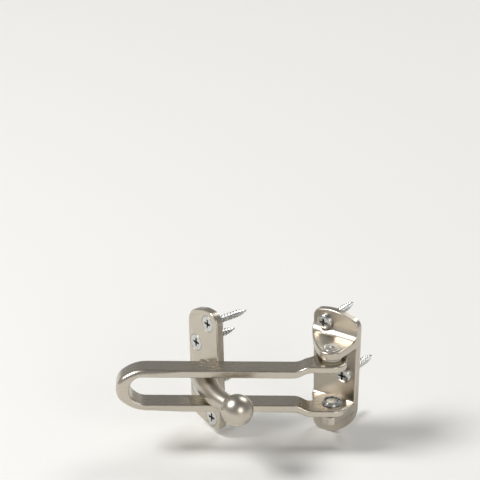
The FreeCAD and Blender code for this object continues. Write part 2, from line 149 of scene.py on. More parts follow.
class BracketSizes(bpy.types.PropertyGroup):
    """Sizes of the hinge bracket and the places of its screws"""

    thickness: length("Plate", "Thickness of the plate", 3.5)
    left: length("Left", "Left edge, from the middle", 13.9)
    right: length("Right", "Right edge at the top, from the middle", 12.8)
    taper: length("Taper", "Right edge, nearer the middle at its foot", 2.4)
    crown: length("Crown", "Peak of the top edge, from the middle", 33.4)
    peak: length("Peak", "Peak of the top edge, left of the middle", 2.0)
    left_drop: length("Left drop", "Top edge's left end, below the peak", 2.7)
    right_drop: length("Right drop", "Top edge's right end, below the peak", 3.7)
    foot: length("Foot", "Right edge's lower end, below the middle", 27.4)
    bottom: length("Bottom", "Bottom edge, from the middle", 36.0)
    sole: length("Sole", "Length of the bottom edge", 11.8)
    lug_inner: length("Lug's inside", "Inner face of each lug, from the middle", 15.75)
    lug: length("Lug", "Thickness of each lug", 4.3)
    nose: length("Upper nose", "Radius of the upper lug's nose", 7.0)
    nose_flat: length("Nose's flat", "Upper lug's front, nearer the pin than its side", 0.5)
    nose_lower: length("Lower nose", "Radius of the lower lug's nose", 6.4)
    belly_x: length("Belly in", "Lug's widest point, in from the plate's left edge", 7.0)
    belly_y: length("Belly out", "Lug's widest point, out from the plate", 10.1)
    root: length("Root", "Rounding of the lugs' roots", 2.0)
    root_outer: length("Upper root", "Rounding above the upper lug", 4.5)
    outer_in: length("Outer screws in", "Outer screws, in from the left edge", 7.5)
    top_down: length("Top screw down", "Top screw, below the peak", 7.7)
    bottom_up: length("Bottom screw up", "Bottom screw, above the bottom edge", 9.0)
    middle_in: length("Middle screw right", "Middle screw, right of the middle", 4.9)
    middle_down: length("Middle screw down", "Middle screw, below the middle", 0.9)
    head_play: length("Head's play", "Play round the top screw's head in the lug's root", 0.4)
    edge: length("Edge", "Rounding of the casting's edges", 0.7)
    seat_edge: length("Seats' edge", "Rounding of the seats' and holes' edges", 0.12)
    back_edge: length("Back edge", "Rounding of the back's edges", 0.2)


class PivotSizes(bpy.types.PropertyGroup):
    """Sizes of the pins, washers and lock rings"""

    x: length("Across", "Pin axis, right of the middle", 6.25)
    y: length("Out", "Pin axis, out from the back face", 17.0)
    pin: length("Pin", "Diameter of each pin", 6.0)
    head: length("Head", "Diameter of each pin's head", 8.9)
    head_rise: length("Head's rise", "How far the head stands out of the lug", 0.4)
    dimple: length("Dimple", "Diameter of the dimple in the head", 2.6)
    washer: length("Washer", "Diameter of each washer", 9.6)
    washer_height: length("Washer's height", "Thickness of each washer", 1.5)
    ring: length("Ring", "Diameter of each lock ring at its foot", 10.4)
    ring_crown: length("Ring's crown", "Diameter of each lock ring at its crown", 8.6)
    ring_bore: length("Ring's bore", "Diameter inside each lock ring's collar", 7.5)
    ring_height: length("Ring's height", "Height of each lock ring", 1.5)
    tooth: length("Tooth", "Width of a lock ring's tooth", 1.2)
    inset: length("Inset", "Pin's end, below its lock ring's crown", 0.5)
    gap: length("End gap", "Play between an eye and what lies on it", 0.15)


class ScrewSizes(bpy.types.PropertyGroup):
    """Sizes of both kinds of screw"""

    shank: length("Thread", "Diameter over the thread", 4.0)
    core: length("Core", "Diameter under the thread", 2.7)
    pitch: length("Pitch", "From one turn of the thread to the next", 1.8)
    long: length("Length", "Head's underside to the point", 25.0)
    point: length("Point", "Length of the pointed end", 6.0)
    hole: length("Hole", "Clearance hole in both plates", 4.6)
    pan: length("Pan head", "Diameter of the pan head", 8.5)
    pan_height: length("Pan's height", "Height of the pan head", 2.5)
    plain: length("Plain part", "Diameter of the shank above the thread", 3.2)
    flush: length("Countersunk head", "Diameter of the countersunk head", 8.4)
    recess: length("Recess", "Span of the cross recess", 4.6)
    recess_width: length("Recess's width", "Width of the cross recess's wings", 1.05)
    recess_depth: length("Recess's depth", "Depth of the cross recess", 1.7)
    recess_edge: length("Recess's edge", "Rounding of the head's sharp edges", 0.07)


class StrikeSizes(bpy.types.PropertyGroup):
    """Sizes of the strike, its place and the places of its screws"""

    thickness: length("Plate", "Thickness of the plate", 4.0)
    top: length("Top", "Top edge, from the ball's height", 31.7)
    bottom: length("Bottom", "Lowest point, from the ball's height", 33.0)
    width: length("Width", "Width at the top", 22.0)
    lean: length("Lean", "Both sides, further right at the foot", 2.7)
    left_drop: length("Left drop", "Top edge's left end, below the top", 4.9)
    bend_in: length("Bend in", "Top edge's bend, from the left edge", 11.3)
    bend_drop: length("Bend drop", "Top edge's bend, below the top", 0.49)
    right_up: length("Right up", "Right side's end, above the lowest point", 2.0)
    toe_in: length("Toe in", "Lowest point, in from the right side", 5.9)
    left_up: length("Left up", "Left side's end, above the lowest point", 4.2)
    top_in: length("Top screw in", "Top screw, in from the right edge", 7.5)
    top_down: length("Top screw down", "Top screw, below the top", 7.3)
    left_in: length("Left screws in", "Left screws, in from the left edge", 5.3)
    upper_up: length("Upper screw up", "Upper left screw, above the ball", 10.5)
    lower_down: length("Lower screw down", "Lower left screw, below the ball", 14.7)
    bottom_in: length("Bottom screw in", "Bottom screw, in from the right side", 6.8)
    bottom_up: length("Bottom screw up", "Bottom screw, above the lowest point", 6.2)
    ball: length("Ball", "Diameter of the ball", 16.2)
    rise: length("Rise", "Ball's middle, from the plate's face", 16.3)
    reach: length("Reach", "Ball's middle, from the plate's left edge", 59.7)
    neck: length("Neck", "Radius of the horn's neck", 4.5)
    root: length("Root", "Rounding where the horn leaves the plate", 0.7)
    fillet: length("Fillet", "Rounding where the neck meets the ball", 0.7)
    edge: length("Edge", "Rounding of the casting's edges", 0.7)
    seat: length("Seat", "Straight wall of each screw's seat", 0.2)
    seat_play: length("Seat's play", "Play round each screw's head", 0.15)
    seat_edge: length("Seats' edge", "Rounding of the seats' edges", 0.1)
    back_edge: length("Back edge", "Rounding of the back's edges", 0.2)
    shut: length("Shut", "Ball's middle to the pin axis, fully shut", 9.5)
    ajar: angle("Ajar", "How far the strike stands open", 18.0)
    swing: length("Swing", "The axis that the strike swings about, to the pin", 163.0)


class StageSettings(bpy.types.PropertyGroup):
    """Floor and camera"""

    floor: length("Floor", "Floor, under the middle of the bracket", 36.0)
    azimuth: angle("Azimuth", "Camera, right of straight ahead", 34.0)
    elevation: angle("Elevation", "Camera, above level", 26.66)
    distance: length("Distance", "Camera to what it looks at", 4000.0)
    frame: length("Frame", "Width of what the camera sees there", 240.0)


class DoorGuard(bpy.types.PropertyGroup):
    """All the guard's settings"""

    finishes: PointerProperty(type=GuardFinishes)
    bar: PointerProperty(type=BarSizes)
    bracket: PointerProperty(type=BracketSizes)
    pivot: PointerProperty(type=PivotSizes)
    screw: PointerProperty(type=ScrewSizes)
    strike: PointerProperty(type=StrikeSizes)
    stage: PointerProperty(type=StageSettings)


def sizes(group):
    """A group's lengths in millimetres, and its angles as they are."""
    out = {}
    for key, prop in group.bl_rna.properties.items():
        if prop.type == "FLOAT":
            scale = 1 / MM if prop.unit == "LENGTH" else 1
            out[key] = getattr(group, key) * scale
    return SimpleNamespace(**out)


# Shapes


def rounded(corners, turn=5):
    """Points along a flat outline of (x, y, radius) corners, each an arc."""
    points = []
    for i, (x, y, radius) in enumerate(corners):
        here = Vector((x, y))
        back = (Vector(corners[i - 1][:2]) - here).normalized()
        ahead = (Vector(corners[(i + 1) % len(corners)][:2]) - here).normalized()
        if radius == 0:
            points.append(here)
            continue
        half = back.angle(ahead) / 2
        centre = here + (back + ahead).normalized() * radius / math.sin(half)
        start = here + back * radius / math.tan(half) - centre
        sweep = math.pi - 2 * half
        if back.cross(ahead) > 0:
            sweep = -sweep
        steps = max(2, math.ceil(abs(math.degrees(sweep)) / turn))
        for k in range(steps + 1):
            points.append(centre + Matrix.Rotation(sweep * k / steps, 2) @ start)
    return [p for p, q in zip(points, points[1:] + points[:1]) if (p - q).length > 1e-4]


def solid(bm, matrix=Matrix()):
    """An object in millimetres from a closed bmesh."""
    bmesh.ops.transform(bm, matrix=matrix, verts=bm.verts)
    bmesh.ops.recalc_face_normals(bm, faces=bm.faces)
    mesh = bpy.data.meshes.new("shape")
    bm.to_mesh(mesh)
    bm.free()
    shape = bpy.data.objects.new("shape", mesh)
    bpy.context.scene.collection.objects.link(shape)
    return shape


def skin(bm, rings):
    """Walls from ring to ring, with both ends closed."""
    loops = [[bm.verts.new(point) for point in ring] for ring in rings]
    for low, high in zip(loops, loops[1:]):
        for i in range(len(low)):
            j = (i + 1) % len(low)
            bm.faces.new((low[i], low[j], high[j], high[i]))
    bm.faces.new(loops[0])
    bm.faces.new(loops[-1])


def prism(outline, low, high, matrix=Matrix()):
    """A flat outline drawn out along Z between two heights."""
    bm = bmesh.new()
    skin(bm, [[(p.x, p.y, z) for p in outline] for z in (low, high)])
    return solid(bm, matrix)


def turned(outline, matrix=Matrix(), steps=96):
    """A solid of revolution about Z from (radius, height) points."""
    bm = bmesh.new()
    ring = [bm.verts.new((max(p[0], 0), 0, p[1])) for p in outline]
    for a, b in zip(ring, ring[1:] + ring[:1]):
        if a.co.x > 0 or b.co.x > 0:
            bm.edges.new((a, b))
    geom = bm.verts[:] + bm.edges[:]
    bmesh.ops.spin(bm, geom=geom, axis=(0, 0, 1), cent=(0, 0, 0), angle=math.tau, steps=steps)
    bmesh.ops.remove_doubles(bm, verts=bm.verts, dist=1e-4)
    return solid(bm, matrix)


def settled(shape):
    """The shape with its modifiers worked into its mesh."""
    graph = bpy.context.evaluated_depsgraph_get()
    mesh = bpy.data.meshes.new_from_object(shape.evaluated_get(graph))
    shape.modifiers.clear()
    shape.data = mesh
    return shape


def combined(shape, tools, operation):
    """The shape after a boolean with each tool, which is then removed."""
    for tool in tools:
        cut = shape.modifiers.new("cut", "BOOLEAN")
        cut.object = tool
        cut.operation = operation
        cut.solver = "EXACT"
        settled(shape)
        bpy.data.objects.remove(tool)
    return shape


def sectioned(shape, across, places):
    """The shape with its faces divided at each place along a direction."""
    # A hole on such a line leaves faces without holes, which round cleanly.
    bm = bmesh.new()
    bm.from_mesh(shape.data)
    for place in places:
        geom = bm.verts[:] + bm.edges[:] + bm.faces[:]
        bmesh.ops.bisect_plane(bm, geom=geom, dist=1e-3, plane_co=Vector(across) * place, plane_no=across)
    bm.to_mesh(shape.data)
    bm.free()
    return shape


def softened(shape, radius_at, least=28):
    """Rounds sharp edges by the radius that radius_at gives, where it gives one."""
    bm = bmesh.new()
    bm.from_mesh(shape.data)
    bmesh.ops.remove_doubles(bm, verts=bm.verts, dist=0.01)
    weight = bm.edges.layers.float.new("bevel_weight_edge")
    sharp = {}
    for edge in bm.edges:
        if len(edge.link_faces) == 2 and math.degrees(edge.calc_face_angle(0)) > least:
            radius = radius_at((edge.verts[0].co + edge.verts[1].co) / 2)
            if radius:
                sharp[edge] = radius
    widest = max(sharp.values())
    for edge, radius in sharp.items():
        edge[weight] = radius / widest
    bm.to_mesh(shape.data)
    bm.free()
    bevel = shape.modifiers.new("edges", "BEVEL")
    bevel.limit_method = "WEIGHT"
    bevel.width = widest
    bevel.segments = 4
    bevel.miter_outer = "MITER_SHARP"
    bevel.use_clamp_overlap = False
    return settled(shape)


def joined(shapes):
    """Several shapes as one object."""
    bm = bmesh.new()
    for shape in shapes:
        bm.from_mesh(shape.data)
        bpy.data.objects.remove(shape)
    return solid(bm)


def piece(name, shape, node, material, inner=None, smooth=32):
    """The shape as a finished piece, in metres, in place of a node."""
    marks = [face.material_index for face in shape.data.polygons]
    shape.name = name
    shape.data.name = name
    shape.data.transform(Matrix.Scale(MM, 4))
    shape.data.materials.clear()
    shape.data.materials.append(material)
    # faces marked 1 take the inner material: the recesses' painted shade
    if inner:
        shape.data.materials.append(inner)
        for face, mark in zip(shape.data.polygons, marks):
            face.material_index = mark
    shape.data.shade_smooth()
    shape.data.set_sharp_from_angle(angle=math.radians(smooth))
    normals = shape.modifiers.new("normals", "WEIGHTED_NORMAL")
    normals.keep_sharp = True
    for body, nodes in frame["record"]["behaviour"]["bodies"].items():
        if node in nodes:
            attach(shape, body)
    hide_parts(node)
    return shape


# Materials


def fill(tree, node, values):
    """Gives a node's sockets their values and links."""
    for key, value in values.items():
        if isinstance(value, bpy.types.NodeSocket):
            tree.links.new(value, node.inputs[key])
        else:
            node.inputs[key].default_value = value
    return node


def add(tree, kind, values=None, **settings):
    """Adds a node with its settings and its sockets' values and links."""
    node = tree.nodes.new(kind)
    for key, value in settings.items():
        setattr(node, key, value)
    return fill(tree, node, values or {})


def started(name):
    """A new material, its node tree and its surface shader."""
    material = bpy.data.materials.new(name)
    material.use_nodes = True
    tree = material.node_tree
    return material, tree, tree.nodes["Principled BSDF"]


def per_mm(size):
    """A texture's scale, where one of its features is that many millimetres."""
    return 1 / (size * MM)


def material_named(name, make, *values):
    """The material of that name, made the first time."""
    return bpy.data.materials.get(name) or make(name, *values)


def rubbed(tree, start, end):
    """How far each place is rubbed bright, from 0 on flats to 1 on edges."""
    # Handling polishes the corners first, so it follows how far they stand out.
    corners = add(tree, "ShaderNodeNewGeometry").outputs["Pointiness"]
    share = add(tree, "ShaderNodeMapRange", {"Value": corners, "From Min": start, "From Max": end})
    return share.outputs[0]


def satin_nickel(tree, shader, colour, grain, cloud, darkest, rough, rub, relief):
    """Satin nickel on a grain: a little cloudy, and rubbed brighter at its edges."""
    # cloud is the clouds' size in mm and darkest their lowest tint. rough is the
    # roughness at the grain's low and high places, and rub what wear takes off it.
    place = add(tree, "ShaderNodeTexCoord").outputs["Object"]
    clouds = add(tree, "ShaderNodeTexNoise", {"Vector": place, "Scale": per_mm(cloud), "Detail": 2.0})
    cloudy = {"Value": clouds.outputs["Fac"], "To Min": darkest, "To Max": 1.04}
    shade = add(tree, "ShaderNodeMapRange", cloudy)
    worn = rubbed(tree, 0.505, 0.56)
    brighter = add(tree, "ShaderNodeMath", {0: worn, 1: 0.12, 2: shade.outputs[0]}, operation="MULTIPLY_ADD")
    colours = add(tree, "ShaderNodeVectorMath", {0: colour, "Scale": brighter.outputs[0]}, operation="SCALE")
    low, high = rough
    matt = add(tree, "ShaderNodeMapRange", {"Value": grain, "To Min": low, "To Max": high})
    smoother = add(tree, "ShaderNodeMath", {0: worn, 1: -rub, 2: matt.outputs[0]}, operation="MULTIPLY_ADD")
    bump = add(tree, "ShaderNodeBump", {"Height": grain, "Strength": relief, "Distance": 0.0001})
    looks = {"Base Color": colours.outputs[0], "Roughness": smoother.outputs[0], "Normal": bump.outputs[0]}
    fill(tree, shader, {**looks, "Metallic": 1})


def satin_nickel_casting(name, colour):
    """Zinc die casting, blasted and plated with satin nickel."""
    # Blasting leaves a fine even grain, which spreads the highlights. The real
    # grit is about 0.08 mm and would not show, so it is drawn at 0.35 mm. Edges
    # and the crown of the ball are rubbed smoother and brighter.
    material, tree, shader = started(name)
    place = add(tree, "ShaderNodeTexCoord").outputs["Object"]
    grain = add(tree, "ShaderNodeTexNoise", {"Vector": place, "Scale": per_mm(0.35), "Detail": 3.0})
    satin_nickel(tree, shader, colour, grain.outputs["Fac"], 9, 0.92, (0.26, 0.40), 0.08, 0.10)
    return material


def satin_nickel_forging(name, colour, turn):
    """Forged steel, linished along its length and plated with satin nickel."""
    # The belt leaves fine lines along the bar, so highlights stretch across it.
    # The real lines are about 0.05 mm apart, drawn at 0.3 mm so that they show.
    # The ball rubs the slot's edges bright each time the bar swings.
    material, tree, shader = started(name)
    place = add(tree, "ShaderNodeTexCoord").outputs["Object"]
    drawn_out = {"Vector": place, "Rotation": (0, 0, turn), "Scale": (50, 1, 1)}
    along = add(tree, "ShaderNodeMapping", drawn_out, vector_type="TEXTURE").outputs[0]
    lines = add(tree, "ShaderNodeTexNoise", {"Vector": along, "Scale": per_mm(0.3), "Detail": 4.0})
    satin_nickel(tree, shader, colour, lines.outputs["Fac"], 14, 0.93, (0.18, 0.42), 0.06, 0.18)
    return material


def nickel_plated_steel(name, colour):
    """Steel with bright nickel plating, as barrelled screws and pins have."""
    # Tumbled parts keep tiny dents, so their shine breaks up a little. The
    # dents are about 0.2 mm across, drawn at 0.6 mm so that they show.
    material, tree, shader = started(name)
    place = add(tree, "ShaderNodeTexCoord").outputs["Object"]
    fine = {"Vector": place, "Scale": per_mm(0.6), "Detail": 3.0}
    dents = add(tree, "ShaderNodeTexNoise", fine).outputs["Fac"]
    worn = rubbed(tree, 0.51, 0.58)
    brighter = add(tree, "ShaderNodeMath", {0: worn, 1: 0.15, 2: 0.95}, operation="MULTIPLY_ADD")
    colours = add(tree, "ShaderNodeVectorMath", {0: colour, "Scale": brighter.outputs[0]}, operation="SCALE")
    rough = add(tree, "ShaderNodeMapRange", {"Value": dents, "To Min": 0.16, "To Max": 0.32})
    bump = add(tree, "ShaderNodeBump", {"Height": dents, "Strength": 0.10, "Distance": 0.0001})
    looks = {"Base Color": colours.outputs[0], "Roughness": rough.outputs[0], "Normal": bump.outputs[0]}
    fill(tree, shader, {**looks, "Metallic": 1})
    return material


def painted_shade_recess_steel(name, colour):
    """The steel in a cross recess, with the recess's shade painted into its colour."""
    # Duller than the head, and darker because the recess's shade is painted in, with random specks about 0.4
    # mm across.
    material, tree, shader = started(name)
    place = add(tree, "ShaderNodeTexCoord").outputs["Object"]
    speck_noise = {"Vector": place, "Scale": per_mm(0.4), "Detail": 2.0}
    specks = add(tree, "ShaderNodeTexNoise", speck_noise).outputs["Fac"]
    shade = add(tree, "ShaderNodeMapRange", {"Value": specks, "To Min": 0.7, "To Max": 1.2})
    # the darker colour is painted shade; the specks vary its tone at random
    colours = add(tree, "ShaderNodeVectorMath", {0: colour, "Scale": shade.outputs[0]}, operation="SCALE")
    rough = add(tree, "ShaderNodeMapRange", {"Value": specks, "To Min": 0.45, "To Max": 0.65})
    fill(tree, shader, {"Base Color": colours.outputs[0], "Roughness": rough.outputs[0], "Metallic": 1})
    return material


def natural_nylon(name, colour):
    """Moulded natural nylon: milky, with a soft waxy shine."""
    # The mould's fine texture, about 0.5 mm, keeps the shine from being glassy.
    material, tree, shader = started(name)
    place = add(tree, "ShaderNodeTexCoord").outputs["Object"]
    fine = {"Vector": place, "Scale": per_mm(0.5), "Detail": 2.0}
    mould = add(tree, "ShaderNodeTexNoise", fine).outputs["Fac"]
    rough = add(tree, "ShaderNodeMapRange", {"Value": mould, "To Min": 0.38, "To Max": 0.52})
    bump = add(tree, "ShaderNodeBump", {"Height": mould, "Strength": 0.06, "Distance": 0.0001})
    milky = {"Subsurface Weight": 0.15, "Subsurface Scale": 0.002, "IOR": 1.53}
    looks = {"Base Color": (*colour, 1), "Roughness": rough.outputs[0], "Normal": bump.outputs[0]}
    fill(tree, shader, {**looks, **milky})
    return material


def painted_board(name, colour):
    """A matt painted board: the plain floor."""
    material, tree, shader = started(name)
    fill(tree, shader, {"Base Color": (*colour, 1), "Roughness": 0.85})
    return material


def casting_finish(guard):
    """The bracket's and the strike's material."""
    return material_named("satin_nickel_casting", satin_nickel_casting, tuple(guard.finishes.nickel))


def steel_finish(guard):
    """The screws', pins' and lock rings' material."""
    return material_named("nickel_plated_steel", nickel_plated_steel, tuple(guard.finishes.steel))


def recess_painted_shade(guard):
    """The material inside the screws' recesses, whose darker colour is painted shade."""
    return material_named("painted_shade_recess_steel", painted_shade_recess_steel, tuple(guard.finishes.recess))


# Pieces


def pin_axis(guard):
    """The pins' axis, as a move from the origin."""
    return Matrix.Translation((guard.pivot.x / MM, -guard.pivot.y / MM, 0))


# Radii of the bracket's corners, clockwise from the upper left one
BRACKET_ROUNDS = (4.7, 25, 4.7, 16, 12, 4.7)
# A lug seen from above. Its left wall slants out from the plate by LUG_FLARE,
# turns forwards before the belly by LUG_TURN, with LUG_ROUND, and its nose turns
# about the pin as far as NOSE_HEADING, then more tightly into the right wall.
LUG_FLARE = (0.48, 1.66)
LUG_TURN = (0.25, 0.3)
LUG_ROUND = 45
NOSE_HEADING = math.radians(40)


def right_edge(size, z):
    """Where the plate's slanting right edge stands at a height."""
    top = size.crown - size.right_drop
    return size.right - size.taper * (top - z) / (top + size.foot)


def lug_plan(size, pivot, nose, front, wall):
    """A lug's outline, seen from above, with its right wall at x = wall."""
    left = -size.left - SLACK
    inside = -size.thickness / 2
    face = -size.thickness
    belly = Vector((left + size.belly_x, face - size.belly_y))
    gap = Vector((pivot.x, -pivot.y)) - belly
    slant = math.atan2(gap.y, gap.x) - math.asin(front / gap.length)
    ahead = Vector((math.cos(NOSE_HEADING), math.sin(NOSE_HEADING)))
    centre = Vector((pivot.x, -pivot.y + (nose - front) / math.cos(slant)))
    edge = centre + nose * Vector((ahead.y, -ahead.x))
    first = edge - ahead * nose * math.tan((NOSE_HEADING - slant) / 2)
    second = edge + ahead * (wall - edge.x) / ahead.x
    tight = (second - edge).length / math.tan((math.pi / 2 - NOSE_HEADING) / 2)
    return rounded(
        [
            (left, inside, 0),
            (left, face - 0.1, 0),
            (left + LUG_FLARE[0], face - LUG_FLARE[1], 0),
            (belly.x - LUG_TURN[0], belly.y - LUG_TURN[1], LUG_ROUND),
            (first.x, first.y, nose),
            (second.x, second.y, tight * 0.999),  # a hair less, so that the arcs stay apart
            (wall, inside, 0),
        ]
    )


def lug(size, pivot, nose, front, root_outer, side):
    """A lug with round roots, made above the middle for either side of it."""
    wall = right_edge(size, side * (size.lug_inner + size.lug / 2)) + SLACK
    inside = -size.thickness / 2
    face = -size.thickness
    low = size.lug_inner - size.root
    top = size.lug_inner + size.lug + root_outer
    end = -pivot.y - 2 * nose
    section = rounded(
        [
            (inside, low, 0),
            (face, low, 0),
            (face, size.lug_inner, size.root),
            (end, size.lug_inner, 0),
            (end, size.lug_inner + size.lug, 0),
            (face, size.lug_inner + size.lug, root_outer),
            (face, top, 0),
            (inside, top, 0),
        ],
        15,
    )
    sideways = Matrix.Rotation(math.radians(90), 4, "Z") @ UPRIGHT
    tab = prism(lug_plan(size, pivot, nose, front, wall), low - 1, top + 1)
    for vert in tab.data.vertices:
        share = max(0, (vert.co.x - pivot.x) / (wall - pivot.x))
        vert.co.x += share * (right_edge(size, side * vert.co.z) + SLACK - wall)
    return combined(tab, [prism(section, -FAR, FAR, sideways)], "INTERSECT")


def bored(outline, x, z, depth=0):
    """A round tool to the front, from (radius, distance out) points."""
    place = Matrix.Translation((x, -depth, z)) @ UPRIGHT
    return turned([Vector(point) for point in outline], place)


def bracket_screw_places(size):
    """Where the bracket's screws stand, from its middle."""
    return {
        "bracket_screw_top": (size.outer_in - size.left, size.crown - size.top_down),
        "bracket_screw_middle": (size.middle_in, -size.middle_down),
        "bracket_screw_bottom": (size.outer_in - size.left, size.bottom_up - size.bottom),
    }


class DOORGUARD_OT_hinge_bracket(bpy.types.Operator):
    """Builds the hinge bracket: plate and two lugs in one casting"""

    bl_idname = "door_guard.hinge_bracket"
    bl_label = "Hinge bracket"

    def execute(self, context):
        guard = context.scene.door_guard
        size = sizes(guard.bracket)
        pivot = sizes(guard.pivot)
        screw = sizes(guard.screw)
        corners = [
            (-size.left, size.crown - size.left_drop),
            (-size.peak, size.crown),
            (size.right, size.crown - size.right_drop),
            (size.right - size.taper, -size.foot),
            (size.sole - size.left, -size.bottom),
            (-size.left, -size.bottom),
        ]
        outline = rounded([(x, z, radius) for (x, z), radius in zip(corners, BRACKET_ROUNDS)])
        upper = lug(size, pivot, size.nose, size.nose - size.nose_flat, size.root_outer, 1)
        lower = lug(size, pivot, size.nose_lower, size.nose_lower, size.root, -1)
        # the lower one was made above the middle as well
        lower.data.transform(MIRRORED)
        lower.data.flip_normals()
        slab = rounded([(-FAR, -FAR, 0), (FAR, -FAR, 0), (FAR, FAR, 0), (-FAR, FAR, 0)])
        plate = prism(slab, 0, size.thickness, UPRIGHT)
        screws = bracket_screw_places(size)
        sectioned(plate, (0, 0, 1), [z for x, z in screws.values()])
        for shape in (plate, upper, lower):
            sectioned(shape, (1, 0, 0), [pivot.x])
        combined(plate, [upper, lower], "UNION")
        combined(plate, [prism(outline, -1, FAR, UPRIGHT)], "INTERSECT")
        # one tool for both pins' bores and the cones that their heads sit in
        top = size.lug_inner + size.lug
        drop = (pivot.head - pivot.pin) / 2
        bore = pivot.pin / 2 + SLACK
        half = [(pivot.head / 2 + 1 + SLACK, top + 1), (bore, top - drop)]
        seats = [(0, top + 1), *half, *[(r, -z) for r, z in reversed(half)], (0, -top - 1)]
        tools = [turned([Vector(p) for p in seats], pin_axis(guard))]
        # the top screw's tool also clears its head out of the lug's root
        hole = screw.hole / 2
        face = screw.pan / 2 + size.head_play
        clear = 2 * size.root_outer
        for node, (x, z) in screws.items():
            out = [(0, -1), (hole, -1), (hole, clear), (0, clear)]
            if node == "bracket_screw_top":
                out[2:3] = [(hole, size.thickness), (face, size.thickness), (face, clear)]
            tools.append(bored(out, x, z))
        combined(plate, tools, "DIFFERENCE")

        def radius_at(p):
            """How wide to round an edge with its middle at p."""
            if math.hypot(p.x - pivot.x, p.y + pivot.y) < pivot.head / 2 + RIM:
                return size.seat_edge
            if p.z < NEAR - top and p.y < -size.thickness - 1:
                return size.seat_edge  # the pin's seat leaves a thin wall here
            for x, z in screws.values():
                if math.hypot(p.x - x, p.z - z) < face + NEAR:
                    return size.seat_edge
            return size.back_edge if p.y > -NEAR else size.edge

        softened(plate, radius_at)
        piece("hinge_bracket_casting", plate, "hinge_bracket", casting_finish(guard))
        return {"FINISHED"}


# Roundings of the bar's tip, and of its slot's end above and below: how far each
# reaches along the bar, its radius at the side and its radius at the end
TIP_ROUND = (16.4, 18, 9)
SLOT_ROUND_TOP = (6.5, 5.6, 7.5)
SLOT_ROUND_LOW = (9, 9, 6.4)
# The front edge's rounding grows from FADE_FROM before the tip, over FADE_LONG,
# along edges that are divided at FADE_CUTS before the tip
FADE_FROM = 34
FADE_LONG = 17.5
FADE_CUTS = [38 - 2.4 * i for i in range(9)]
# The slot's edges lie within SLOT_REACH of a point SLOT_BACK before its end
SLOT_BACK = 5
SLOT_REACH = 10.2
# Where the bar's long faces are divided, from the pin axis, to shade evenly
BAR_SECTIONS = (20, 32, 46, 60, 74, 86)


def bend(end, half, rounding):
    """Two corners that round a side at height half into an end."""
    reach, side_round, end_round = rounding
    share = math.sqrt(2) - 1
    return [(end - reach * (1 - share), half, side_round), (end, half * share, end_round)]


class DOORGUARD_OT_swing_bar(bpy.types.Operator):
    """Builds the swing bar: a forged loop with two cranked eyes"""

    bl_idname = "door_guard.swing_bar"
    bl_label = "Swing bar"

    def execute(self, context):
        guard = context.scene.door_guard
        size = sizes(guard.bar)
        outer = size.slot_half + size.arm
        eye_outer = size.eye_inner + size.eye
        start = -2 * size.eye_end
        slot_end = size.reach - size.tip
        tip = bend(size.reach, outer, TIP_ROUND)
        top = bend(slot_end, size.slot_half, SLOT_ROUND_TOP)
        low = bend(slot_end, -size.slot_half, SLOT_ROUND_LOW)
        fades = [size.reach - back for back in FADE_CUTS]
        leaves, meets, bent = size.crank_start, size.crank_end, size.crank_round
        side = rounded(
            [
                (start, eye_outer, 0),
                (leaves, eye_outer, bent),
                (meets, outer, bent),
                *[(x, outer, 0) for x in fades],
                *tip,
                *[(x, -z, r) for x, z, r in reversed(tip)],
                *[(x, -outer, 0) for x in reversed(fades)],
                (meets, -outer, bent),
                (leaves, -eye_outer, bent),
                (start, -eye_outer, 0),
                (start, -size.eye_inner, 0),
                (leaves, -size.eye_inner, bent),
                (meets, -size.slot_half, bent),
                *low,
                *reversed(top),
                (meets, size.slot_half, bent),
                (leaves, size.eye_inner, bent),
                (start, size.eye_inner, 0),
            ],
            6,
        )
        plan = rounded(
            [
                (2 * size.reach, -size.back, 0),
                (size.notch, -size.back, size.notch_round),
                (size.heel, -size.eye_heel, size.heel_round),
                (-size.eye_end, -size.eye_heel, size.eye_round),
                (-size.eye_end, size.front, size.eye_round),
                (2 * size.reach, size.front, 0),
            ],
            9,
        )
        bar = prism(side, -2 * size.front, 2 * size.front, UPRIGHT)
        combined(bar, [prism(plan, -FAR, FAR)], "INTERSECT")
        hole = size.bore / 2
        bore = turned([Vector(point) for point in ((0, -FAR), (hole, -FAR), (hole, FAR), (0, FAR))])
        combined(bar, [bore], "DIFFERENCE")
        sectioned(bar, (1, 0, 0), BAR_SECTIONS)
        fade = size.reach - FADE_FROM

        def radius_at(p):
            """How wide to round an edge with its middle at p."""
            if math.hypot(p.x, p.y) < hole + RIM:
                return size.bore_edge
            along = max(p.x - slot_end + SLOT_BACK, 0)
            outside = abs(p.z) > outer - NEAR or math.hypot(along, p.z) > SLOT_REACH
            if p.y > size.front - NEAR and p.x > fade and outside:
                share = min((p.x - fade) / FADE_LONG, 1)
                share = share * share * (3 - 2 * share)
                return size.edge + (size.tip_edge - size.edge) * share
            return size.edge

        softened(bar, radius_at)
        turn = math.pi + size.opening
        bar.data.transform(pin_axis(guard) @ Matrix.Rotation(turn, 4, "Z"))
        colour = tuple(guard.finishes.nickel)
        nickel = material_named("satin_nickel_forging", satin_nickel_forging, colour, turn)
        piece("swing_bar_forging", bar, "swing_bar", nickel)
        return {"FINISHED"}


# Stations along the horn: shares of the reach and the rise, lean in degrees, and
# shares of the neck's radius across and up
HORN = [
    (0.260, -0.09, 90, 1.78, 0.80),
    (0.285, 0.20, 65, 1.71, 0.97),
    (0.382, 0.51, 35, 1.49, 1.25),
    (0.578, 0.84, 18, 1.22, 1.22),
    (0.762, 0.99, 5, 1.09, 1.09),
    (1.000, 1.00, 0, 1.00, 1.00),
]
HORN_STEPS = 8  # rings from one station to the next
HORN_LAST = 3  # rings after the last but one, before the ball's fillet
HORN_SIDES = 56  # points round each ring
ROOT_STEPS = 6  # rings round the root's rounding
FILLET_STEPS = 4  # rings round the neck's fillet
BALL_STEPS = 36  # rings round the ball
NECK_END = 1.03  # the neck's radius where its fillet starts, as a share
SUNK = 0.3  # how deep the horn's root is sunk into the plate


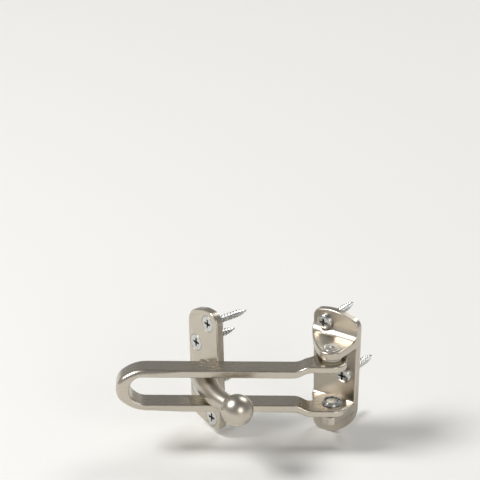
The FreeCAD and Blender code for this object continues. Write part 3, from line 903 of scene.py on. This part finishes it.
def between(rows, i, share):
    """A row of values on the smooth curve from row i to the next, at a share."""
    a, b, c, d = [rows[min(max(k, 0), len(rows) - 1)] for k in range(i - 1, i + 3)]
    out = []
    for p, q, r, s in zip(a, b, c, d):
        turn = (r - p) + share * (2 * p - 5 * q + 4 * r - s + share * (3 * (q - r) + s - p))
        out.append(q + share * turn / 2)
    return out


def oval(size, reach, rise, lean, across, tall):
    """One ring of points round the horn."""
    tilt = Matrix.Rotation(-math.radians(lean), 4, "Z")
    middle = Vector((size.reach * reach, -size.thickness - size.rise * rise, 0))
    ring = []
    for i in range(HORN_SIDES):
        a = math.tau * i / HORN_SIDES
        out = Vector((0, across * math.cos(a), tall * math.sin(a))) * size.neck
        ring.append(middle + tilt @ out)
    return ring


def crossing(line, y):
    """Where a line of points first passes outwards through the plane at y."""
    for p, q in zip(line, line[1:]):
        if p.y > y >= q.y:
            return p.lerp(q, (p.y - y) / (p.y - q.y))
    raise ValueError("the horn's skin does not reach the plate's face")


def horn_and_ball(size):
    """The horn from its round root to the ball, as one smooth skin."""
    rings = []
    for i in range(len(HORN) - 1):
        count = HORN_STEPS if i < len(HORN) - 2 else HORN_LAST
        rings += [oval(size, *between(HORN, i, k / HORN_STEPS)) for k in range(count)]
    # root: each line along the horn is eased out to lie on the plate's face
    face = -size.thickness
    root = []
    for k in range(ROOT_STEPS + 1):
        a = math.radians(90) * k / ROOT_STEPS
        height = size.root * (1 - math.cos(a))
        out = size.root * (1 - math.sin(a))
        level = [crossing([ring[j] for ring in rings], face - height) for j in range(HORN_SIDES)]
        eased = []
        for j, point in enumerate(level):
            along = level[(j + 1) % len(level)] - level[j - 1]
            normal = Vector((along.z, 0, -along.x)).normalized()
            if normal.dot(point - sum(level, Vector()) / len(level)) < 0:
                normal.negate()
            eased.append(point + normal * out)
        root.append(eased)
    root.insert(0, [point + Vector((0, SUNK, 0)) for point in root[0]])
    clear = [ring for ring in rings if max(point.y for point in ring) < face - size.root - 0.1]
    # neck, its fillet and the ball, all round the ball's own axis
    radius = size.ball / 2
    fillet = size.fillet
    neck = size.neck * NECK_END
    away = math.sqrt((radius + fillet) ** 2 - (neck + fillet) ** 2)
    meets = math.atan2(neck + fillet, away)
    line = []
    for k in range(FILLET_STEPS + 1):
        a = meets * k / FILLET_STEPS
        line.append((-away + fillet * math.sin(a), neck + fillet - fillet * math.cos(a)))
    for k in range(1, BALL_STEPS + 1):
        a = meets + (math.pi - meets) * k / BALL_STEPS
        line.append((-radius * math.cos(a), radius * math.sin(a)))
    ball = []
    for x, r in line:
        share = r / size.neck
        ball.append(oval(size, 1 + x / size.reach, 1, 0, share, share))
    bm = bmesh.new()
    skin(bm, root + clear + ball)
    bmesh.ops.remove_doubles(bm, verts=bm.verts, dist=1e-4)
    return solid(bm)


def strike_screw_places(size):
    """Where the strike's screws stand, from its left edge and the ball's height."""
    lower_in = size.left_in + size.lean * 0.4  # it follows the leaning edge
    return {
        "strike_screw_top": (size.width - size.top_in, size.top - size.top_down),
        "strike_screw_upper": (size.left_in, size.upper_up),
        "strike_screw_lower": (lower_in, -size.lower_down),
        "strike_screw_bottom": (size.width + size.lean - size.bottom_in, size.bottom_up - size.bottom),
    }


def ajar(guard):
    """The strike's place, where it has swung part open."""
    size = sizes(guard.strike)
    pivot = sizes(guard.pivot)
    hinge = Matrix.Translation((pivot.x - size.swing, 0, 0))
    shut = Matrix.Translation((pivot.x - size.shut - size.reach, 0, 0))
    return hinge @ Matrix.Rotation(-size.ajar, 4, "Z") @ hinge.inverted() @ shut


# Radii of the strike's corners, clockwise from the upper left one
STRIKE_ROUNDS = (9, 12, 6.5, 3, 5, 8)


class DOORGUARD_OT_strike(bpy.types.Operator):
    """Builds the strike: plate, horn and ball in one casting"""

    bl_idname = "door_guard.strike"
    bl_label = "Strike"

    def execute(self, context):
        guard = context.scene.door_guard
        size = sizes(guard.strike)
        screw = sizes(guard.screw)
        right = size.width + size.lean
        corners = [
            (-size.lean / 2, size.top - size.left_drop),
            (size.bend_in, size.top - size.bend_drop),
            (size.width, size.top),
            (right, size.right_up - size.bottom),
            (right - size.toe_in, -size.bottom),
            (size.lean / 2, size.left_up - size.bottom),
        ]
        outline = rounded([(x, z, radius) for (x, z), radius in zip(corners, STRIKE_ROUNDS)])
        plate = prism(outline, 0, size.thickness, UPRIGHT)
        rim = screw.flush / 2 + size.seat_play
        hole = screw.hole / 2
        cone = size.seat + rim - hole
        back = 2 * size.thickness
        seat = [(0, 1), (rim, 1), (rim, -size.seat), (hole, -cone), (hole, -back), (0, -back)]
        screws = strike_screw_places(size).values()
        tools = [bored(seat, x, z, size.thickness) for x, z in screws]
        sectioned(plate, (0, 0, 1), [z for x, z in screws])
        combined(plate, tools, "DIFFERENCE")

        def radius_at(p):
            """How wide to round an edge with its middle at p."""
            if p.y > -NEAR:
                return size.back_edge
            for x, z in screws:
                if math.hypot(p.x - x, p.z - z) < rim + RIM:
                    return size.seat_edge
            return size.edge

        softened(plate, radius_at)
        strike = joined([plate, horn_and_ball(size)])
        strike.data.transform(ajar(guard))
        piece("strike_casting", strike, "strike_plate", casting_finish(guard))
        return {"FINISHED"}


# A lock ring's teeth: how many, how thick, and how far they rise from its foot
TEETH = 10
TOOTH_THICK = 0.4
TOOTH_RISE = 0.8


class DOORGUARD_OT_pivots(bpy.types.Operator):
    """Builds the two pivots: pins, washers and toothed lock rings"""

    bl_idname = "door_guard.pivots"
    bl_label = "Pivots"

    def execute(self, context):
        guard = context.scene.door_guard
        size = sizes(guard.pivot)
        bracket = sizes(guard.bracket)
        bar = sizes(guard.bar)
        steel = steel_finish(guard)
        nylon = material_named("natural_nylon", natural_nylon, tuple(guard.finishes.nylon))
        base = bar.eye_inner - size.gap
        top = bracket.lug_inner + bracket.lug
        pin_r = size.pin / 2
        head_r = size.head / 2
        crown = base - size.ring_height
        end = crown + size.inset
        proud = top + size.head_rise
        # inner end, cone under the head, and the head's face with its dimple
        pin = rounded(
            [
                (0, end, 0),
                (pin_r, end, 0.5),
                (pin_r, top - (head_r - pin_r), 0.1),
                (head_r, top, 0.08),
                (head_r - 0.15, proud, 0.25),
                (size.dimple / 2, proud, 0.2),
                (0, proud - 0.9, 0),
            ],
            15,
        )
        low = bracket.lug_inner - size.washer_height
        inside = pin_r + 0.05
        washer = rounded(
            [
                (inside, low, 0.2),
                (size.washer / 2, low, 0.25),
                (size.washer / 2, bracket.lug_inner, 0.25),
                (inside, bracket.lug_inner, 0.2),
            ],
            15,
        )
        bore = size.ring_bore / 2
        # crown, slanting wall and flat foot
        collar = rounded(
            [
                (bore, crown, 0.12),
                (size.ring_crown / 2, crown, 0.2),
                (size.ring / 2, base - 0.3, 0.15),
                (size.ring / 2, base, 0.08),
                (bore, base, 0.08),
            ],
            15,
        )
        for side, matrix in (("upper", Matrix()), ("lower", MIRRORED)):
            place = pin_axis(guard) @ matrix
            piece(side + "_pin", turned(pin, place), side + "_pivot_pin", steel)
            piece(side + "_nylon_washer", turned(washer, place), side + "_washer", nylon)
            teeth = [self.tooth(size, place, base, i) for i in range(TEETH)]
            ring = joined([turned(collar, place), *teeth])
            piece(side + "_toothed_ring", ring, side + "_lock_ring", steel)
        return {"FINISHED"}

    def tooth(self, size, place, base, i):
        """One tooth of a lock ring, bent up against the pin."""
        root = size.ring_bore / 2 + 0.2
        tip = size.pin / 2 + SLACK
        outline = rounded(
            [
                (root, base - SLACK, 0),
                (root, base - SLACK - TOOTH_THICK, 0),
                (tip + 0.25, base - TOOTH_RISE, 0),
                (tip, base - TOOTH_RISE + 0.18, 0),
                (tip + 0.1, base - 0.3, 0),
            ]
        )
        turn = Matrix.Rotation(math.tau * i / TEETH, 4, "Z")
        shape = prism(outline, -size.tooth / 2, size.tooth / 2, place @ turn @ UPRIGHT)
        return softened(shape, lambda p: 0.06)


# A cross recess at shares of its depth narrows by RECESS_TAPER and its wings by
# WING_TAPER. WEB fills the corners between the wings, and TIP is its pointed end.
RECESS_SHARES = (-0.25, 0, 0.55, 1)
RECESS_TAPER = 0.62
WING_TAPER = 0.35
WEB = 0.32
TIP = 0.35


def recessed(head, screw, height):
    """The head with its cross recess, whose faces are marked 1 to take the recess's painted shade."""
    shape = combined(head, [cross_recess(screw, height)], "DIFFERENCE")
    softened(shape, lambda p: screw.recess_edge, 40)
    deepest = height - screw.recess_depth - TIP - 0.05
    # faces inside the recess are marked for the darker material, which is painted shade
    for face in shape.data.polygons:
        inside = math.hypot(face.center.x, face.center.y) < screw.recess / 2 - 0.05
        below = deepest < face.center.z < height - 0.08
        face.material_index = int(inside and below and face.normal.z > 0.01)
    return shape


def cross_recess(screw, height):
    """A tool for the cross recess in a screw's head, its mouth at a height."""
    rings = []
    for share in RECESS_SHARES:
        half = screw.recess / 2 * (1 - RECESS_TAPER * share)
        wing = screw.recess_width / 2 * (1 - WING_TAPER * share)
        web = wing + WEB
        quarter = [(half, -wing), (half, wing), (web, wing), (wing, web)]
        ring = []
        for turn in range(4):
            spin = Matrix.Rotation(math.radians(90 * turn), 2)
            ring += [spin @ Vector(p) for p in quarter]
        rings.append([(p.x, p.y, height - screw.recess_depth * share) for p in ring])
    rings.append([(0.3 * x, 0.3 * y, height - screw.recess_depth - TIP) for x, y, _ in rings[-1]])
    bm = bmesh.new()
    skin(bm, rings)
    return solid(bm)


THREAD_SIDES = 36  # points round the thread
THREAD_ROWS = 8  # rings for each turn
RIDGE = 0.28  # half the ridge's width, as a share of the pitch
RIDGE_POWER = 0.8  # below 1, the ridge's flanks bulge a little
RIDGE_RISE = 2.5  # how far above the point's end the ridge is full, in mm
POINT_CORE = 0.12  # the core's radius at the point's end, in mm


def thread(screw, start):
    """The threaded shank below a height, with its point."""
    rows = math.ceil((start + screw.long) / screw.pitch * THREAD_ROWS)
    turns = [math.tau * i / THREAD_SIDES for i in range(THREAD_SIDES)]
    rings = []
    for row in range(rows):
        z = start - screw.pitch * row / THREAD_ROWS
        left = z + screw.long
        fade = min(left / screw.point, 1)
        core = screw.core / 2 * fade + POINT_CORE * (1 - fade)
        ridge_height = (screw.shank - screw.core) / 2
        crest = min(screw.shank / 2, core + ridge_height * min(left / RIDGE_RISE, 1))
        starts = min((start - z) / screw.pitch, 1)
        ring = []
        for a in turns:
            phase = (row / THREAD_ROWS - a / math.tau) % 1
            ridge = max(0, 1 - abs(phase - 0.5) / RIDGE) ** RIDGE_POWER
            r = core + (crest - core) * ridge * starts
            ring.append((r * math.cos(a), r * math.sin(a), z))
        rings.append(ring)
    rings.append([(SLACK * math.cos(a), SLACK * math.sin(a), SLACK - screw.long) for a in turns])
    bm = bmesh.new()
    skin(bm, rings)
    return solid(bm)


PAN_CROWN = 2.2  # the pan head's crown is flat so far from its axis
PAN_SHOULDER = 0.55  # from the crown down to the shoulder, and the side's height
PAN_LAP = 0.4  # how far its plain neck runs on inside the thread
FLUSH_LAP = 0.8  # the same for a countersunk screw's neck


def pan_screw(screw, neck):
    """A pan-head screw with its seat at Z = 0 and a plain neck below it."""
    r = screw.pan / 2
    plain = screw.plain / 2
    end = neck + PAN_LAP
    # crown, shoulder, side and underside
    head = rounded(
        [
            (0, screw.pan_height, 0),
            (PAN_CROWN, screw.pan_height, 4.5),
            (r - 0.15, screw.pan_height - PAN_SHOULDER, 1.3),
            (r, PAN_SHOULDER, 1.2),
            (r, SLACK, 0.15),
            (plain, SLACK, 0),
            (plain, -end, 0),
            (0, -end, 0),
        ],
        8,
    )
    return joined([recessed(turned(head), screw, screw.pan_height), thread(screw, -neck)])


def countersunk_screw(screw, wall, neck):
    """A countersunk screw with its face at Z = 0 and its shank downwards."""
    r = screw.flush / 2
    plain = screw.plain / 2
    cone = wall + r - plain
    end = neck + FLUSH_LAP
    face = [(0, 0, 0), (r, 0, 0.12), (r, -wall, 0.05)]
    head = rounded([*face, (plain, -cone, 0), (plain, -end, 0), (0, -end, 0)], 12)
    return joined([recessed(turned(head), screw, 0), thread(screw, -neck)])


def placed(shape, x, y, z):
    """The screw stood with its head to the front."""
    shape.data.transform(Matrix.Translation((x, y, z)) @ UPRIGHT)
    return shape


PAN_NECK_PAST = 0.6  # plain neck of a pan-head screw, past the plate's back
FLUSH_NECK = 3.2  # a countersunk screw's face to its thread


class DOORGUARD_OT_bracket_screws(bpy.types.Operator):
    """Builds the three pan-head screws that hold the bracket"""

    bl_idname = "door_guard.bracket_screws"
    bl_label = "Bracket screws"

    def execute(self, context):
        guard = context.scene.door_guard
        size = sizes(guard.bracket)
        screw = sizes(guard.screw)
        # recess is the material that paints shade inside the screws' recesses
        steel, recess = steel_finish(guard), recess_painted_shade(guard)
        neck = size.thickness + PAN_NECK_PAST
        for node, (x, z) in bracket_screw_places(size).items():
            shape = placed(pan_screw(screw, neck), x, -size.thickness, z)
            piece(node + "_pan_head", shape, node, steel, recess)
        return {"FINISHED"}


class DOORGUARD_OT_strike_screws(bpy.types.Operator):
    """Builds the four countersunk screws that hold the strike"""

    bl_idname = "door_guard.strike_screws"
    bl_label = "Strike screws"

    def execute(self, context):
        guard = context.scene.door_guard
        size = sizes(guard.strike)
        screw = sizes(guard.screw)
        # recess is the material that paints shade inside the screws' recesses
        steel, recess = steel_finish(guard), recess_painted_shade(guard)
        for node, (x, z) in strike_screw_places(size).items():
            shape = placed(countersunk_screw(screw, size.seat, FLUSH_NECK), x, -size.thickness, z)
            shape.data.transform(ajar(guard))
            piece(node + "_countersunk", shape, node, steel, recess)
        return {"FINISHED"}


# Stage


# Soft boxes: name, power in watts, width and place in metres
LAMPS = (
    ("key_light", 21, 0.7, (-0.85, -0.75, 1.25)),
    ("fill_light", 6, 0.9, (1.3, -0.8, 0.7)),
    ("back_light", 6, 0.8, (0.1, 1.1, 1.1)),
)
LIT_AT = (-0.03, -0.02, 0)  # the guard's middle in metres, which the lamps face
SKY = (0.42, 0.16)  # the sky's strength at the horizon and overhead
FLOOR_HALF = 6  # metres from the floor's middle to its edge
LOOKS_AT = (-57.49, -4.34, 56.88)  # the picture's middle, in mm
SENSOR = 36  # the camera's width of film, in mm


def lamp(name, power, width, place, target):
    """A soft box that faces the target."""
    light = bpy.data.lights.new(name, "AREA")
    light.shape = "DISK"
    light.size = width
    light.energy = power
    shown = bpy.data.objects.new(name, light)
    shown.location = place
    shown.rotation_euler = (Vector(target) - Vector(place)).to_track_quat("-Z", "Y").to_euler()
    bpy.context.scene.collection.objects.link(shown)


class DOORGUARD_OT_stage(bpy.types.Operator):
    """Builds the floor, the soft light and the camera"""

    bl_idname = "door_guard.stage"
    bl_label = "Stage"

    def execute(self, context):
        guard = context.scene.door_guard
        stage = guard.stage
        bm = bmesh.new()
        bmesh.ops.create_grid(bm, x_segments=1, y_segments=1, size=FLOOR_HALF)
        floor = solid(bm, Matrix.Translation((0, 0, -stage.floor)))
        floor.name = "floor"
        floor.data.materials.append(painted_board("painted_board", tuple(guard.finishes.floor)))
        for name, power, width, place in LAMPS:
            lamp(name, power, width, place, LIT_AT)

        world = bpy.data.worlds.new("soft_sky")
        context.scene.world = world
        world.use_nodes = True
        tree = world.node_tree
        place = add(tree, "ShaderNodeTexCoord").outputs["Generated"]
        height = add(tree, "ShaderNodeSeparateXYZ", {0: place}).outputs["Z"]
        shade = add(tree, "ShaderNodeMapRange", {"Value": height, "To Min": SKY[0], "To Max": SKY[1]})
        fill(tree, tree.nodes["Background"], {"Color": (1, 1, 1, 1), "Strength": shade.outputs[0]})

        view = bpy.data.cameras.new("camera")
        view.sensor_width = SENSOR
        view.lens = SENSOR * stage.distance / stage.frame
        view.clip_end = 50
        camera = bpy.data.objects.new("camera", view)
        level = math.cos(stage.elevation)
        towards = Vector(
            (
                math.sin(stage.azimuth) * level,
                -math.cos(stage.azimuth) * level,
                math.sin(stage.elevation),
            )
        )
        camera.location = Vector(LOOKS_AT) * MM + towards * stage.distance
        camera.rotation_euler = towards.to_track_quat("Z", "Y").to_euler()
        context.scene.collection.objects.link(camera)
        context.scene.camera = camera
        context.scene.view_settings.view_transform = "Standard"
        return {"FINISHED"}


class DOORGUARD_PT_panel(bpy.types.Panel):
    """Lists the door guard's pieces in the sidebar"""

    bl_label = "Door Guard"
    bl_idname = "DOORGUARD_PT_panel"
    bl_space_type = "VIEW_3D"
    bl_region_type = "UI"
    bl_category = "Door Guard"

    def draw(self, context):
        guard = context.scene.door_guard
        for key in ("finishes", "bracket", "bar", "strike", "pivot", "screw", "stage"):
            group = getattr(guard, key)
            box = self.layout.box()
            box.label(text=key.capitalize())
            for name in group.__annotations__:
                box.prop(group, name)
        for operator in OPERATORS:
            self.layout.operator(operator.bl_idname)


OPERATORS = (
    DOORGUARD_OT_hinge_bracket,
    DOORGUARD_OT_swing_bar,
    DOORGUARD_OT_strike,
    DOORGUARD_OT_pivots,
    DOORGUARD_OT_bracket_screws,
    DOORGUARD_OT_strike_screws,
    DOORGUARD_OT_stage,
)
GROUPS = (
    GuardFinishes,
    BarSizes,
    BracketSizes,
    PivotSizes,
    ScrewSizes,
    StrikeSizes,
    StageSettings,
    DoorGuard,
)


def register():
    """Makes the settings, the operators and the panel known."""
    for item in (*GROUPS, *OPERATORS, DOORGUARD_PT_panel):
        bpy.utils.register_class(item)
    bpy.types.Scene.door_guard = PointerProperty(type=DoorGuard)


def unregister():
    """Takes them away again."""
    del bpy.types.Scene.door_guard
    for item in reversed((*GROUPS, *OPERATORS, DOORGUARD_PT_panel)):
        bpy.utils.unregister_class(item)


def main():
    """Builds the whole scene."""
    register()
    bpy.ops.door_guard.hinge_bracket()
    bpy.ops.door_guard.swing_bar()
    bpy.ops.door_guard.strike()
    bpy.ops.door_guard.pivots()
    bpy.ops.door_guard.bracket_screws()
    bpy.ops.door_guard.strike_screws()
    bpy.ops.door_guard.stage()


if __name__ == "__main__":
    main()
